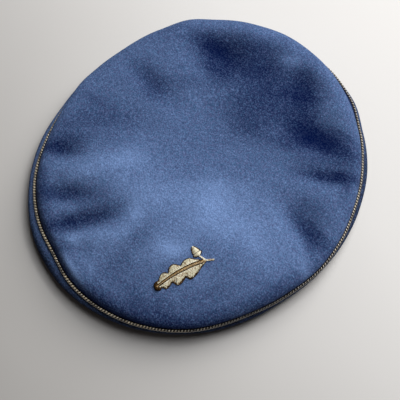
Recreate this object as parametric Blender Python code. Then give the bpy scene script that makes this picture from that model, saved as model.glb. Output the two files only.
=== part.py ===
"""A soft, flat student cap of blue felted cloth, with a gold cord in its rim seam.

An oval crown plate and a side panel meet edge to edge in the rim seam, and the cord lies in the groove
between them. The side panel bulges beyond the cord, turns under the rim and runs back to an upright
headband, on which the cap rests. An oak leaf with an acorn is embroidered on the crown in gold thread.
Metres, +Z up, the cap's front towards -Y, resting on z = 0.
"""
import math
from collections import namedtuple

import bmesh
import bpy
from mathutils import Vector
from mathutils.bvhtree import BVHTree

# Driving sizes of the cap
SEAM_HALF_LENGTH = 0.1387
SEAM_HALF_WIDTH = 0.1235
HEAD_HALF_LENGTH = 0.0980
HEAD_HALF_WIDTH = 0.0830
BAND_HEIGHT = 0.0200
CLOTH = 0.0020
CROWN_LOFT = 0.0060
RIDGE_RISE = 0.0050
RIM_DROP = 0.0050
SIDE_BULGE = 0.0100
CORD_DIAMETER = 0.0023

# Shape of the rim's rolled edge and of the panel under it. ROLL_START, BULGE_FULLNESS, PANEL_SETTLE and
# PANEL_CLIMB are shares that round the sections.
ROLL_LEAN = 0.0045
ROLL_FULLNESS = 0.0015
ROLL_RISE = 0.0065
ROLL_START = 0.55
BULGE_FULLNESS = 1.4
KEEL_DROP = 0.0004
RIM_TURN_UNDER = 0.0100
PANEL_JOINT_DROP = 0.0035
PANEL_SETTLE = 0.35
PANEL_CLIMB = 0.30
GATHER_DEPTH = 0.0008
GATHER_FOLDS = 11

# Clearances
SEAM_GAP = 0.0003
CORD_GAP = 0.00035
STITCH_GAP = 0.0004
BAND_GAP = 0.0005

# The crown's cloth clears the band's top, and the rim seam lies so far below that level
CROWN_BASE = BAND_HEIGHT + BAND_GAP + CLOTH
SEAM_HEIGHT = CROWN_BASE - RIM_DROP
GROOVE = 0.5 * CORD_DIAMETER + CORD_GAP
LIP_DEPTH = GROOVE + SEAM_GAP

# Sizes of the embroidery
LEAF_LENGTH = 0.0400
LEAF_HALF_WIDTH = 0.0068
LEAF_THICKNESS = 0.0009
MIDRIB_RISE = 0.0006
STEM_LENGTH = 0.0062
STEM_DIAMETER = 0.0012
STALK_LENGTH = 0.0058
STALK_DIAMETER = 0.0010
ACORN_LENGTH = 0.0052
ACORN_WIDTH = 0.0044
CUP_LENGTH = 0.0022
CUP_WIDTH = 0.0060
# Directions in plan, in degrees: the leaf's from +X, the stem's, the stalk's and the acorn's from the leaf's
LEAF_TURN = 72.0
STEM_TURN = -23.0
STALK_TURN = 118.0
ACORN_TURN = 98.0

SEGMENTS = 72
ROLL_STEPS = 4
SIDE_STEPS = 5
PANEL_STEPS = 5
TUBE_SIDES = 6
DIAGONAL = math.sqrt(0.5)

# The rim every 15 degrees, counted from +X towards +Y. reach is a share of the seam's oval, lean a share
# of ROLL_LEAN, bulge of SIDE_BULGE, ridge of RIDGE_RISE, lift and hang of SEAM_HEIGHT.
Rim = namedtuple("Rim", "reach lean bulge ridge lift hang")
RIM = (
    Rim(1.000, 0.20, 0.15, 0.0, 1.00, 0.36),
    Rim(0.996, -0.20, 0.32, 0.2, 1.00, 0.36),
    Rim(0.991, -0.40, 0.42, 0.5, 1.00, 0.36),
    Rim(0.984, -0.40, 0.48, 0.8, 1.00, 0.36),
    Rim(0.975, -0.20, 0.50, 0.9, 1.00, 0.38),
    Rim(0.972, 0.40, 0.42, 1.0, 1.00, 0.40),
    Rim(0.975, 0.90, 0.32, 1.0, 1.02, 0.40),
    Rim(0.984, 1.00, 0.30, 1.0, 1.04, 0.40),
    Rim(1.004, 1.00, 0.30, 1.0, 1.04, 0.40),
    Rim(1.016, 1.00, 0.30, 1.0, 1.04, 0.40),
    Rim(1.010, 1.00, 0.30, 0.8, 1.04, 0.40),
    Rim(1.003, 1.00, 0.35, 0.5, 1.02, 0.38),
    Rim(1.000, 0.80, 0.55, 0.2, 1.00, 0.36),
    Rim(0.996, 0.20, 0.75, 0.0, 1.00, 0.34),
    Rim(0.998, -0.50, 0.78, 0.0, 1.00, 0.32),
    Rim(1.010, -0.80, 0.80, 0.0, 1.00, 0.28),
    Rim(1.003, -0.90, 1.12, 0.0, 1.00, 0.24),
    Rim(0.981, -0.90, 1.34, 0.0, 0.98, 0.22),
    Rim(0.996, -0.60, 0.80, 0.0, 0.96, 0.26),
    Rim(1.004, -0.40, 0.38, 0.0, 0.98, 0.30),
    Rim(1.012, -0.20, 0.18, 0.0, 1.00, 0.34),
    Rim(1.013, 0.10, 0.12, 0.0, 1.00, 0.36),
    Rim(0.998, 0.20, 0.15, 0.0, 1.00, 0.36),
    Rim(0.994, 0.30, 0.15, 0.0, 1.00, 0.36),
)

# The crown's plate from the middle outwards. out is a share of the seam's reach, loft of CROWN_LOFT above
# the crown's base and ridge of the rise that the rim table gives.
Ring = namedtuple("Ring", "out loft ridge")
PLATE = (
    Ring(0.00, 0.84, 0.00),
    Ring(0.12, 0.84, 0.00),
    Ring(0.24, 0.86, 0.00),
    Ring(0.36, 0.90, 0.00),
    Ring(0.47, 0.96, 0.00),
    Ring(0.57, 1.00, 0.05),
    Ring(0.66, 1.00, 0.15),
    Ring(0.74, 0.92, 0.35),
    Ring(0.81, 0.84, 0.65),
    Ring(0.87, 0.78, 0.92),
    Ring(0.91, 0.74, 1.00),
    Ring(0.94, 0.66, 0.90),
)

# Dents and swells of the crown. across and along place the middle, as shares of the seam's half width and
# half length; long and wide are shares of the half length, turn is in degrees from +X, and rise is a share
# of CROWN_LOFT, below zero for a dent.
Fold = namedtuple("Fold", "across along long wide turn rise")
FOLDS = (
    Fold(0.34, -0.37, 0.52, 0.27, 4.0, 1.05),
    Fold(0.10, 0.26, 0.60, 0.24, 0.0, -0.30),
    Fold(-0.34, -0.44, 0.26, 0.20, 30.0, 0.45),
    Fold(-0.47, 0.62, 0.19, 0.11, 10.0, -0.95),
    Fold(-0.23, 0.78, 0.16, 0.06, -60.0, -0.55),
    Fold(0.12, 0.76, 0.13, 0.10, 0.0, -0.95),
    Fold(0.42, 0.62, 0.20, 0.10, 20.0, -1.00),
    Fold(0.63, 0.44, 0.18, 0.05, 35.0, -0.65),
    Fold(0.77, 0.13, 0.18, 0.06, -8.0, -0.75),
    Fold(-0.66, 0.19, 0.19, 0.06, 2.0, -0.50),
    Fold(-0.70, -0.50, 0.11, 0.05, 45.0, -0.55),
    Fold(-0.44, -0.64, 0.15, 0.045, 37.0, -0.60),
    Fold(-0.23, -0.67, 0.22, 0.045, 58.0, -0.65),
    Fold(-0.18, -0.86, 0.07, 0.03, 60.0, -0.35),
    Fold(-0.66, -0.10, 0.22, 0.14, 0.0, -0.35),
    Fold(0.17, -0.33, 0.22, 0.06, -78.0, -0.28),
    Fold(0.60, -0.50, 0.12, 0.06, -30.0, -0.28),
)

# The leaf from its round tip to its foot. along is a share of LEAF_LENGTH, left and right are shares of
# LEAF_HALF_WIDTH and bend is the midrib's sideways place, of the same size.
Lobe = namedtuple("Lobe", "along left right bend")
LEAF = (
    Lobe(0.00, 0.26, 0.26, 0.00),
    Lobe(0.04, 0.42, 0.44, 0.04),
    Lobe(0.09, 0.38, 0.30, 0.08),
    Lobe(0.14, 0.64, 0.68, 0.12),
    Lobe(0.20, 0.78, 0.74, 0.17),
    Lobe(0.26, 0.70, 0.60, 0.21),
    Lobe(0.31, 0.43, 0.57, 0.24),
    Lobe(0.36, 0.82, 1.08, 0.26),
    Lobe(0.43, 1.00, 1.14, 0.27),
    Lobe(0.50, 0.84, 0.96, 0.28),
    Lobe(0.57, 0.43, 0.83, 0.27),
    Lobe(0.62, 0.66, 1.20, 0.26),
    Lobe(0.70, 0.82, 1.14, 0.24),
    Lobe(0.77, 0.78, 0.98, 0.21),
    Lobe(0.86, 0.45, 0.62, 0.14),
    Lobe(0.94, 0.20, 0.30, 0.06),
    Lobe(1.00, 0.09, 0.11, 0.00),
)
# The blade's section from its left edge to its right. side is a share of the lobe's half width, fullness of
# LEAF_THICKNESS and rib of MIDRIB_RISE.
Column = namedtuple("Column", "side fullness rib")
BLADE = (
    Column(1.0, 0.35, 0.0),
    Column(0.5, 0.85, 0.0),
    Column(0.0, 1.00, 1.0),
    Column(-0.5, 0.85, 0.0),
    Column(-1.0, 0.35, 0.0),
)
# The acorn's cup and nut. along is a share of the piece's length and wide of its width.
Bead = namedtuple("Bead", "along wide")
CUP = (
    Bead(0.00, 0.45),
    Bead(0.35, 0.90),
    Bead(0.75, 1.00),
    Bead(1.00, 0.85),
)
NUT = (
    Bead(0.00, 0.80),
    Bead(0.30, 1.00),
    Bead(0.70, 0.85),
    Bead(1.00, 0.30),
)
# Where the leaf's round tip lies, as shares of the seam's half width and half length
LEAF_TIP = (0.388, -0.704)

CLOTH_BLUE = (0.075, 0.130, 0.300)
CORD_GOLD = (0.530, 0.430, 0.230)
THREAD_GOLD = (0.750, 0.600, 0.320)
RIB_GOLD = (0.330, 0.220, 0.080)


def clear_scene():
    """Remove whatever the scene starts with."""
    for found in list(bpy.data.objects):
        bpy.data.objects.remove(found, do_unlink=True)


def finish(name, colour, roughness, metallic):
    """Make a plain Principled material."""
    made = bpy.data.materials.new(name)
    made.use_nodes = True
    shader = made.node_tree.nodes["Principled BSDF"]
    shader.inputs["Base Color"].default_value = (*colour, 1.0)
    shader.inputs["Roughness"].default_value = roughness
    shader.inputs["Metallic"].default_value = metallic
    return made


def add_object(name, bm, material):
    """Turn a bmesh into a named, smooth-shaded object."""
    mesh = bpy.data.meshes.new(name)
    bmesh.ops.recalc_face_normals(bm, faces=bm.faces)
    bm.to_mesh(mesh)
    bm.free()
    mesh.materials.append(material)
    mesh.shade_smooth()
    mesh.set_sharp_from_angle(angle=math.radians(50.0))
    made = bpy.data.objects.new(name, mesh)
    bpy.context.collection.objects.link(made)
    return made


def rim_at(turn):
    """Read the rim table at an angle in radians, smoothly between its rows."""
    place = turn / (2.0 * math.pi) * len(RIM)
    row = math.floor(place)
    part = place - row
    around = [RIM[(row + step) % len(RIM)] for step in (-1, 0, 1, 2)]
    values = []
    for before, start, end, after in zip(*around):
        bend_in = 0.5 * (end - before)
        bend_out = 0.5 * (after - start)
        rest = 3.0 * (end - start) - 2.0 * bend_in - bend_out
        turnback = bend_in + bend_out - 2.0 * (end - start)
        values.append(start + part * (bend_in + part * (rest + part * turnback)))
    return Rim(*values)


def seam_place(turn):
    """The rim seam's place in plan."""
    reach = rim_at(turn).reach
    return Vector((SEAM_HALF_WIDTH * math.cos(turn), SEAM_HALF_LENGTH * math.sin(turn), 0.0)) * reach


def relief(place):
    """Height of the crown's dents and swells at a place in plan."""
    total = 0.0
    for fold in FOLDS:
        turn = math.radians(fold.turn)
        x = place.x - fold.across * SEAM_HALF_WIDTH
        y = place.y - fold.along * SEAM_HALF_LENGTH
        down = (x * math.cos(turn) + y * math.sin(turn)) / (fold.long * SEAM_HALF_LENGTH)
        side = (y * math.cos(turn) - x * math.sin(turn)) / (fold.wide * SEAM_HALF_LENGTH)
        total += fold.rise * math.exp(-down * down - side * side)
    return total * CROWN_LOFT


def sweep_between(start, pull, push, end, steps):
    """Points of a cubic curve after its start, as many as steps."""
    points = []
    for step in range(1, steps + 1):
        t = step / steps
        s = 1.0 - t
        points.append(start * s**3 + pull * 3 * s * s * t + push * 3 * s * t * t + end * t**3)
    return points


def section_point(origin, out, beyond, height):
    """A point of a rim section, so far beyond the seam and so high."""
    return origin + out * beyond + Vector((0.0, 0.0, height))


def inner_skin(points, out):
    """The section's inner side, one cloth thickness in from its outer side."""
    inner = []
    for index, point in enumerate(points):
        before = points[max(index - 1, 0)]
        after = points[min(index + 1, len(points) - 1)]
        run = (after - before).dot(out)
        rise = after.z - before.z
        size = math.hypot(run, rise)
        inner.append(point + (out * rise - Vector((0.0, 0.0, run))) * (CLOTH / size))
    return inner


def crown_section(turn):
    """Outer and inner side of the crown from its middle to the seam."""
    rim = rim_at(turn)
    seam = seam_place(turn)
    out = seam.normalized()
    outer = []
    for ring in PLATE[1:]:
        place = seam * ring.out
        height = CROWN_BASE + ring.loft * CROWN_LOFT + ring.ridge * rim.ridge * RIDGE_RISE + relief(place)
        outer.append(place + Vector((0.0, 0.0, height)))
    seam_height = rim.lift * SEAM_HEIGHT
    start = outer[-1]
    slope = (start - outer[-2]).normalized()
    room = (seam - start).dot(out)
    pull = start + slope * ROLL_START * room
    push = section_point(seam, out, ROLL_FULLNESS + rim.lean * ROLL_LEAN, seam_height + ROLL_RISE)
    cheek = section_point(seam, out, -GROOVE * DIAGONAL, seam_height + GROOVE * DIAGONAL)
    outer += sweep_between(start, pull, push, cheek, ROLL_STEPS)
    lip_height = seam_height + 0.5 * SEAM_GAP
    inner = inner_skin(outer, out)
    outer.append(section_point(seam, out, -LIP_DEPTH, lip_height))
    inner.append(section_point(seam, out, -LIP_DEPTH - CLOTH, lip_height))
    return outer, inner


def side_section(turn):
    """Outer and inner side of the side panel from the seam, under the rim, to the headband."""
    rim = rim_at(turn)
    seam = seam_place(turn)
    out = seam.normalized()
    seam_height = rim.lift * SEAM_HEIGHT
    lip_height = seam_height - 0.5 * SEAM_GAP
    gather = GATHER_DEPTH * math.sin(GATHER_FOLDS * turn)
    bulge = rim.bulge * SIDE_BULGE
    low = rim.hang * SEAM_HEIGHT + gather
    cheek = section_point(seam, out, -GROOVE * DIAGONAL, seam_height - GROOVE * DIAGONAL)
    keel = section_point(seam, out, 0.0, seam_height - GROOVE)
    pull = section_point(seam, out, 0.5 * bulge + 0.5 * CLOTH, seam_height - GROOVE - KEEL_DROP)
    push = section_point(seam, out, BULGE_FULLNESS * bulge + CLOTH, low)
    under = section_point(seam, out, -RIM_TURN_UNDER, low)
    outer = [cheek, keel] + sweep_between(keel, pull, push, under, SIDE_STEPS)
    band = Vector(((HEAD_HALF_WIDTH + CLOTH) * math.cos(turn), (HEAD_HALF_LENGTH + CLOTH) * math.sin(turn), 0.0))
    joint_height = BAND_HEIGHT - PANEL_JOINT_DROP
    foot = band + band.normalized() * SEAM_GAP + Vector((0.0, 0.0, joint_height))
    across = foot - under
    across.z = 0.0
    settle = under + across * PANEL_SETTLE
    climb = foot - across * PANEL_CLIMB
    outer += sweep_between(under, settle, climb, foot, PANEL_STEPS)
    inner = inner_skin(outer, out)
    inner[-1] = foot + Vector((0.0, 0.0, CLOTH))
    lip = section_point(seam, out, -LIP_DEPTH, lip_height)
    inner_lip = section_point(seam, out, -LIP_DEPTH - CLOTH, lip_height)
    return [lip] + outer, [inner_lip] + inner


def loft(bm, rings):
    """Join rings of points, each with as many points, and return their vertices."""
    rows = [[bm.verts.new(point) for point in ring] for ring in rings]
    for here, beyond in zip(rows, rows[1:]):
        for index in range(len(here)):
            follow = (index + 1) % len(here)
            bm.faces.new((here[index], here[follow], beyond[follow], beyond[index]))
    return rows


def fan(bm, middle, row):
    """Close a ring with triangles to one middle point."""
    point = bm.verts.new(middle)
    for index in range(len(row)):
        bm.faces.new((point, row[index], row[(index + 1) % len(row)]))


def turns():
    """The angles of the cap's sections."""
    return [2.0 * math.pi * index / SEGMENTS for index in range(SEGMENTS)]


def make_crown_top(material):
    """The crown's plate with its rolled rim, a hollow-backed cloth solid."""
    sections = [crown_section(turn) for turn in turns()]
    outer = list(zip(*(section[0] for section in sections)))
    inner = list(zip(*(section[1] for section in sections)))
    bm = bmesh.new()
    rows = loft(bm, outer + inner[::-1])
    middle_height = CROWN_BASE + PLATE[0].loft * CROWN_LOFT + relief(Vector((0.0, 0.0, 0.0)))
    middle = Vector((0.0, 0.0, middle_height))
    fan(bm, middle, rows[0])
    fan(bm, middle - Vector((0.0, 0.0, CLOTH)), rows[-1])
    return add_object("crown_top", bm, material)


def make_crown_side(material):
    """The side panel, from the seam round under the rim to the headband."""
    sections = [side_section(turn) for turn in turns()]
    outer = list(zip(*(section[0] for section in sections)))
    inner = list(zip(*(section[1] for section in sections)))
    bm = bmesh.new()
    loft(bm, outer + inner[::-1] + outer[:1])
    bmesh.ops.remove_doubles(bm, verts=bm.verts, dist=1e-6)
    return add_object("crown_side", bm, material)


def make_headband(material):
    """The upright oval band that the head goes into and the cap rests on."""
    rings = []
    for wall, height in ((0.0, 0.0), (CLOTH, 0.0), (CLOTH, BAND_HEIGHT), (0.0, BAND_HEIGHT), (0.0, 0.0)):
        ring = []
        for turn in turns():
            x = (HEAD_HALF_WIDTH + wall) * math.cos(turn)
            y = (HEAD_HALF_LENGTH + wall) * math.sin(turn)
            ring.append(Vector((x, y, height)))
        rings.append(ring)
    bm = bmesh.new()
    loft(bm, rings)
    bmesh.ops.remove_doubles(bm, verts=bm.verts, dist=1e-6)
    return add_object("headband", bm, material)


def tube(bm, path, radii, closed):
    """Sweep a round section along a path of points, with one radius for each point."""
    rings = []
    count = len(path)
    for index, point in enumerate(path):
        before = path[(index - 1) % count] if closed else path[max(index - 1, 0)]
        after = path[(index + 1) % count] if closed else path[min(index + 1, count - 1)]
        along = (after - before).normalized()
        side = along.cross(Vector((0.0, 0.0, 1.0))).normalized()
        over = side.cross(along)
        ring = []
        for step in range(TUBE_SIDES):
            turn = 2.0 * math.pi * (step + 0.5) / TUBE_SIDES
            ring.append(point + (side * math.cos(turn) + over * math.sin(turn)) * radii[index])
        rings.append(ring)
    if closed:
        loft(bm, rings + rings[:1])
        bmesh.ops.remove_doubles(bm, verts=bm.verts, dist=1e-6)
    else:
        rows = loft(bm, rings)
        bm.faces.new(rows[0])
        bm.faces.new(rows[-1])


def make_edge_cord(material):
    """The gold cord that lies in the seam's groove all round the cap."""
    path = []
    for turn in turns():
        path.append(seam_place(turn) + Vector((0.0, 0.0, rim_at(turn).lift * SEAM_HEIGHT)))
    bm = bmesh.new()
    tube(bm, path, [0.5 * CORD_DIAMETER] * len(path), True)
    return add_object("edge_cord", bm, material)


def plan_way(degrees):
    """A direction in plan, counted from +X."""
    return Vector((math.cos(math.radians(degrees)), math.sin(math.radians(degrees)), 0.0))


def leaf_frame():
    """The leaf's tip and its two directions in plan: along the leaf, and to the left of it."""
    tip = Vector((LEAF_TIP[0] * SEAM_HALF_WIDTH, LEAF_TIP[1] * SEAM_HALF_LENGTH, 0.0))
    return tip, plan_way(LEAF_TURN), plan_way(LEAF_TURN + 90.0)


def drape(ground, place, lift):
    """Lay a place in plan on the crown, so far above it."""
    above = CROWN_BASE + RIDGE_RISE + 4.0 * CROWN_LOFT
    hit = ground.ray_cast(Vector((place.x, place.y, above)), Vector((0.0, 0.0, -1.0)))[0]
    return hit + Vector((0.0, 0.0, lift))


def make_oak_leaf(ground, material):
    """The raised blade of the leaf, with its midrib as a ridge."""
    tip, along, left = leaf_frame()
    top = []
    base = []
    for lobe in LEAF:
        top_row = []
        base_row = []
        for column in BLADE:
            reach = (lobe.left if column.side > 0.0 else lobe.right) * column.side
            place = tip + along * lobe.along * LEAF_LENGTH + left * (lobe.bend + reach) * LEAF_HALF_WIDTH
            base_row.append(drape(ground, place, STITCH_GAP))
            rise = column.fullness * LEAF_THICKNESS + column.rib * MIDRIB_RISE
            top_row.append(drape(ground, place, STITCH_GAP + rise))
        top.append(top_row)
        base.append(base_row)
    rings = [row + base_row[::-1] for row, base_row in zip(top, base)]
    bm = bmesh.new()
    rows = loft(bm, rings)
    bm.faces.new(rows[0])
    bm.faces.new(rows[-1])
    return add_object("oak_leaf", bm, material)


def thread_tube(name, ground, places, widths, material):
    """A raised, round line of stitches through places in plan."""
    path = [drape(ground, place, STITCH_GAP + 0.5 * width) for place, width in zip(places, widths)]
    bm = bmesh.new()
    tube(bm, path, [0.5 * width for width in widths], False)
    return add_object(name, bm, material)


def make_stem_and_acorn(ground, thread, rib):
    """The stem past the leaf's foot, and the acorn on its stalk beside it."""
    tip, along, left = leaf_frame()
    foot = tip + along * (LEAF_LENGTH + STEM_DIAMETER) + left * LEAF[-1].bend * LEAF_HALF_WIDTH
    stem_way = plan_way(LEAF_TURN + STEM_TURN)
    stem = [foot + stem_way * STEM_LENGTH * share for share in (0.0, 0.35, 0.7, 1.0)]
    thread_tube("leaf_stem", ground, stem, [STEM_DIAMETER] * len(stem), thread)
    stalk_way = plan_way(LEAF_TURN + STALK_TURN)
    stalk_start = foot + left * (STEM_DIAMETER + STITCH_GAP)
    stalk = [stalk_start + stalk_way * STALK_LENGTH * share for share in (0.0, 0.5, 1.0)]
    thread_tube("acorn_stalk", ground, stalk, [STALK_DIAMETER] * len(stalk), thread)
    acorn_way = plan_way(LEAF_TURN + ACORN_TURN)
    cup_start = stalk[-1] + acorn_way * (STITCH_GAP + 0.5 * STALK_DIAMETER)
    cup = [cup_start + acorn_way * CUP_LENGTH * bead.along for bead in CUP]
    thread_tube("acorn_cup", ground, cup, [0.5 * CUP_WIDTH * bead.wide for bead in CUP], rib)
    nut_start = cup[-1] + acorn_way * STITCH_GAP
    nut = [nut_start + acorn_way * ACORN_LENGTH * bead.along for bead in NUT]
    thread_tube("acorn_nut", ground, nut, [0.5 * ACORN_WIDTH * bead.wide for bead in NUT], thread)


def centre_on_origin():
    """Move the whole cap so that the middle of its outline stands over the origin."""
    meshes = [found.data for found in bpy.data.objects if found.type == "MESH"]
    xs = [vertex.co.x for mesh in meshes for vertex in mesh.vertices]
    ys = [vertex.co.y for mesh in meshes for vertex in mesh.vertices]
    shift = Vector((-0.5 * (min(xs) + max(xs)), -0.5 * (min(ys) + max(ys)), 0.0))
    for mesh in meshes:
        for vertex in mesh.vertices:
            vertex.co += shift
    return shift


def main():
    """Build every piece of the cap."""
    clear_scene()
    cloth = finish("blue_cloth", CLOTH_BLUE, 0.95, 0.0)
    cord = finish("gold_cord", CORD_GOLD, 0.35, 0.8)
    thread = finish("gold_thread", THREAD_GOLD, 0.45, 0.3)
    rib = finish("dark_gold_thread", RIB_GOLD, 0.5, 0.3)
    crown = make_crown_top(cloth)
    make_crown_side(cloth)
    make_headband(cloth)
    make_edge_cord(cord)
    bpy.context.view_layer.update()
    ground = BVHTree.FromObject(crown, bpy.context.evaluated_depsgraph_get())
    make_oak_leaf(ground, thread)
    make_stem_and_acorn(ground, thread, rib)
    return centre_on_origin()


if __name__ == "__main__":
    main()
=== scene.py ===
# %% [markdown]
# # A student's cap of blue felt
# The solid model of this cap is already made and fixed: an oval crown, a side panel, a headband, a cord in
# the rim seam and an embroidered leaf. This lesson dresses it. Each step makes one piece or one finish, and
# says why it is made that way. Sizes are in metres, +Z is up, and the cap's front is towards -Y.

# %% Load the fixed model
import math
import random
from collections import namedtuple

import bmesh
import bpy
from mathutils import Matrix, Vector, noise
from mathutils.bvhtree import BVHTree
from mathutils.kdtree import KDTree


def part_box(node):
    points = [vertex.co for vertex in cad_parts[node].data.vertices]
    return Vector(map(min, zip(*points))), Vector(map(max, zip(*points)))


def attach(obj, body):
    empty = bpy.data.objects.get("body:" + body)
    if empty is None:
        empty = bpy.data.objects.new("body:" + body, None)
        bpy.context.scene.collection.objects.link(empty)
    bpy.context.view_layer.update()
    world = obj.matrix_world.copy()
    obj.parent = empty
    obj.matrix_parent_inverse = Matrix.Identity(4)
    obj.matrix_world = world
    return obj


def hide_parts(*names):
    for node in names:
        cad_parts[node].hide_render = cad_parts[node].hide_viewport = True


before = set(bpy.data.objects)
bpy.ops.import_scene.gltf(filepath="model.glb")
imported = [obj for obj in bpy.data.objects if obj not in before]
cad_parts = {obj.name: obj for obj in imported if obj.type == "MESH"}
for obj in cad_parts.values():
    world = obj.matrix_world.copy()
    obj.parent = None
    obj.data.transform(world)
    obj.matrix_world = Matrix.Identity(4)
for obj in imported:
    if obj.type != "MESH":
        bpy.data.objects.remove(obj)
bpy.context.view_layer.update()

# %% [markdown]
# ## Camera
# The picture looks down on the cap from its front left corner, 66 degrees above the table. A lens is set by
# how many metres one pixel covers at the aim point, and a small shift puts that point where the picture has
# it. Depth of field stays off, so every stitch is sharp.

# %% Camera at the picture's angle
PICTURE = 400
METRES_PER_PIXEL = 0.0008
VIEW_AZIMUTH = math.radians(44.0)
VIEW_ELEVATION = math.radians(66.0)
VIEW_DISTANCE = 0.70
AIM = Vector((0.0027, -0.0032, 0.0100))
AIM_PIXEL = (197.5, 176.0)
SENSOR = 36.0

back = Vector((
    math.sin(VIEW_AZIMUTH) * math.cos(VIEW_ELEVATION),
    -math.cos(VIEW_AZIMUTH) * math.cos(VIEW_ELEVATION),
    math.sin(VIEW_ELEVATION),
))
lens_data = bpy.data.cameras.new("camera")
lens_data.sensor_width = SENSOR
lens_data.lens = SENSOR * VIEW_DISTANCE / (PICTURE * METRES_PER_PIXEL)
lens_data.shift_x = (0.5 * PICTURE - AIM_PIXEL[0]) / PICTURE
lens_data.shift_y = (AIM_PIXEL[1] - 0.5 * PICTURE) / PICTURE
lens_data.clip_start = 0.01
camera = bpy.data.objects.new("camera", lens_data)
camera.location = AIM + back * VIEW_DISTANCE
camera.rotation_mode = "QUATERNION"
camera.rotation_quaternion = (-back).to_track_quat("-Z", "Y")
bpy.context.scene.collection.objects.link(camera)
bpy.context.scene.camera = camera
print("camera", [round(value, 3) for value in camera.location], "lens", round(lens_data.lens, 1))

# %% [markdown]
# ## Light and floor
# Folds in felt only show where light rakes across them, so one soft lamp stands low behind the cap. The
# second hangs higher on the same side. Both throw the shadow towards the near left, a long pale one and a
# short one inside it, so the shadow is darkest close to the cap. Square area lights give soft edges: the
# larger the lamp, the softer.

# %% Lamps, sky and floor
KEY_PLACE = Vector((0.02, 0.98, 0.90))
KEY_SIZE = 0.95
KEY_POWER = 12.5
KEY_COLOUR = (1.0, 0.985, 0.96)
FILL_PLACE = Vector((0.14, 0.41, 1.33))
FILL_SIZE = 0.80
FILL_POWER = 8.6
FILL_COLOUR = (0.97, 0.98, 1.0)
SKY_COLOUR = (1.0, 0.88, 0.84)
SKY_STRENGTH = 0.03
FLOOR_HALF = 3.0


def soft_lamp(name, place, size, power, colour):
    """A square lamp that faces the cap."""
    data = bpy.data.lights.new(name, "AREA")
    data.size = size
    data.energy = power
    data.color = colour
    lamp = bpy.data.objects.new(name, data)
    lamp.location = place
    lamp.rotation_mode = "QUATERNION"
    lamp.rotation_quaternion = (-place).to_track_quat("-Z", "Y")
    bpy.context.scene.collection.objects.link(lamp)


soft_lamp("key_lamp", KEY_PLACE, KEY_SIZE, KEY_POWER, KEY_COLOUR)
soft_lamp("fill_lamp", FILL_PLACE, FILL_SIZE, FILL_POWER, FILL_COLOUR)
sky = bpy.data.worlds.new("sky")
sky.use_nodes = True
sky.node_tree.nodes["Background"].inputs["Color"].default_value = (*SKY_COLOUR, 1.0)
sky.node_tree.nodes["Background"].inputs["Strength"].default_value = SKY_STRENGTH
bpy.context.scene.world = sky
bpy.context.scene.view_settings.view_transform = "Standard"
print("lamps", [found.name for found in bpy.data.objects if found.type == "LIGHT"])

# %% [markdown]
# ## Writing materials as sums
# A material is a graph of nodes, but a formula is easier to read. The class below wraps one output of a
# node, and adding or multiplying two of them adds the Math node that does it. One method makes every other
# node: its settings first, then what goes into its sockets.

# %% A small language for materials
class Field:
    """A value that changes over a surface: one node's output, ready for sums."""

    def __init__(self, recipe, socket):
        self.recipe = recipe
        self.socket = socket

    def _maths(self, operation, first, second):
        return self.recipe.node("ShaderNodeMath", {"operation": operation}, {0: first, 1: second})

    def __add__(self, other):
        return self._maths("ADD", self, other)

    def __radd__(self, other):
        return self._maths("ADD", other, self)

    def __sub__(self, other):
        return self._maths("SUBTRACT", self, other)

    def __rsub__(self, other):
        return self._maths("SUBTRACT", other, self)

    def __mul__(self, other):
        return self._maths("MULTIPLY", self, other)

    def __rmul__(self, other):
        return self._maths("MULTIPLY", other, self)

    def __rpow__(self, other):
        return self._maths("POWER", other, self)

    def clamped(self):
        """The same value, held between 0 and 1."""
        return self.recipe.node("ShaderNodeClamp", {}, {"Value": self})

    def at_most(self, limit):
        """The same value, or the limit where that is less."""
        return self._maths("MINIMUM", self, limit)


class Recipe:
    """One material and the graph that finishes it."""

    def __init__(self, name, roughness, metallic, **constants):
        self.material = bpy.data.materials.new(name)
        self.material.use_nodes = True
        self.tree = self.material.node_tree
        self.shader = self.tree.nodes["Principled BSDF"]
        self.shader.inputs["Roughness"].default_value = roughness
        self.shader.inputs["Metallic"].default_value = metallic
        for socket, value in constants.items():
            self.shader.inputs[socket.replace("_", " ")].default_value = value
        self.places = self.node("ShaderNodeTexCoord", {}, {}, output="Object")

    def node(self, kind, settings, sockets, output=0):
        """Add a node, set it up, feed its sockets, and give back one output."""
        made = self.tree.nodes.new(kind)
        for name, value in settings.items():
            setattr(made, name, value)
        for name, value in sockets.items():
            if isinstance(value, Field):
                self.tree.links.new(value.socket, made.inputs[name])
            else:
                made.inputs[name].default_value = value
        return Field(self, made.outputs[output])

    def noise(self, size, detail=2.0, roughness=0.5):
        """Cloudy noise from 0 to 1, its blotches about so large in metres."""
        values = {"Scale": 1.0 / size, "Detail": detail, "Roughness": roughness}
        return self.node("ShaderNodeTexNoise", {}, {"Vector": self.places, **values})

    def attribute(self, name):
        """A number that the mesh carries at its points."""
        return self.node("ShaderNodeAttribute", {"attribute_name": name}, {}, output="Fac")

    def blend(self, share, first, second):
        """A colour between two others."""
        # the Mix node has an A and a B for each kind of value, so the ones for colour go by number
        low, high = (value if isinstance(value, Field) else (*value, 1.0) for value in (first, second))
        return self.node("ShaderNodeMix", {"data_type": "RGBA"}, {0: share, 6: low, 7: high}, output=2)

    def paint(self, colour):
        """Feed the base colour."""
        self.tree.links.new(colour.socket, self.shader.inputs["Base Color"])

    def relief(self, height, distance, strength):
        """Feed a height into a Bump node and on to the normal."""
        values = {"Height": height, "Distance": distance, "Strength": strength}
        bump = self.node("ShaderNodeBump", {}, values, output="Normal")
        self.tree.links.new(bump.socket, self.shader.inputs["Normal"])
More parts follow.
